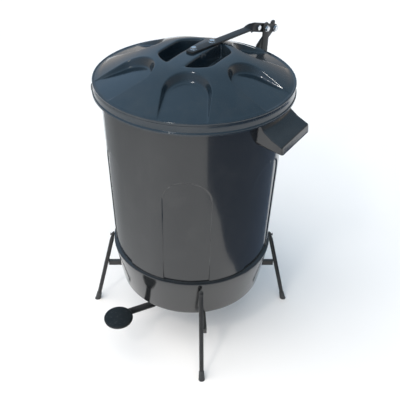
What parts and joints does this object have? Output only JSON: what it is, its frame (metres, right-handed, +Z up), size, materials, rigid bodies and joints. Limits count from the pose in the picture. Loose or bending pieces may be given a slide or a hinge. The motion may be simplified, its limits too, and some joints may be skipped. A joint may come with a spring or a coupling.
{
  "type": "pedal waste bin",
  "caption": "Round tapered bin with two hand holds on a splayed four-leg stand, its domed lid lifted by a foot pedal through a lever and a rear push rod.",
  "frame": {"origin": "on the floor, at the centre of the overall footprint, which is below the bin's axis", "axes": "+Z up, -Y toward the pedal, +Y toward the lid hinge, +X to the right seen from the pedal"},
  "size_m": [0.6238, 0.703, 0.9096],
  "materials": {
    "bin_plastic": "glossy moulded polyethylene, charcoal",
    "lid_plastic": "glossy moulded polyethylene, slate",
    "black_steel": "satin black powder coat",
    "zinc_steel": "bright zinc plate",
    "foot_rubber": "matt grey-black rubber",
    "pad_rubber": "smooth black rubber"
  },
  "bodies": {
    "stand": {"bin_body": "bin_plastic", "handle_right": "bin_plastic", "handle_left": "bin_plastic", "leg_front_right": "black_steel", "leg_front_left": "black_steel", "leg_rear_right": "black_steel", "leg_rear_left": "black_steel", "foot_caps": "foot_rubber", "leg_screws": "black_steel", "leg_nuts": "zinc_steel", "cross_bar_a": "black_steel", "cross_bar_b": "black_steel", "seat_ring": "black_steel", "pivot_bar": "black_steel", "pivot_bracket": "black_steel", "bracket_screws": "zinc_steel", "pivot_bolt": "zinc_steel", "pivot_washers": "zinc_steel", "pivot_nut": "zinc_steel", "rear_rail": "black_steel", "rail_bolts": "zinc_steel", "rail_nuts": "zinc_steel", "hinge_post": "black_steel", "post_bracket": "black_steel", "post_bolts": "zinc_steel", "post_nuts": "zinc_steel", "stay_bracket": "black_steel", "stay_screws": "zinc_steel", "hinge_bolt": "zinc_steel", "hinge_washers": "zinc_steel", "hinge_spacer": "zinc_steel", "hinge_nut": "zinc_steel"},
    "lid": {"lid_shell": "lid_plastic", "lid_arm": "black_steel", "hinge_link": "black_steel", "arm_bolts": "zinc_steel", "arm_washers": "zinc_steel", "arm_nuts": "zinc_steel", "link_bolt": "zinc_steel", "link_nut": "zinc_steel", "rod_bolt": "zinc_steel", "rod_washers": "zinc_steel", "rod_nut": "zinc_steel"},
    "rod": {"push_rod": "black_steel"},
    "lever": {"pedal_lever": "black_steel", "lever_sleeve": "black_steel", "lever_fork": "black_steel", "rod_pin": "zinc_steel", "pin_clips": "zinc_steel", "pedal_plate": "black_steel", "pedal_pad": "pad_rubber", "pedal_screws": "zinc_steel"}
  },
  "joints": [
    {"name": "lid_open", "type": "hinge", "parent": "stand", "child": "lid", "pos_m": [0, 0.3405, 0.8675], "axis": [-1, 0, 0], "range_deg": [0, 50]},
    {"name": "rod_swing", "type": "hinge", "parent": "lid", "child": "rod", "pos_m": [0, 0.284, 0.8835], "axis": [1, 0, 0], "range_deg": [0, 46.67]},
    {"name": "pedal_press", "type": "hinge", "parent": "stand", "child": "lever", "pos_m": [0, 0.1, 0.1105], "axis": [1, 0, 0], "range_deg": [0, 12.7]}
  ],
  "couplings": [
    {"joint": "rod_swing", "follows": "lid_open", "ratio": 0.9325},
    {"joint": "pedal_press", "follows": "lid_open", "ratio": 0.253}
  ]
}
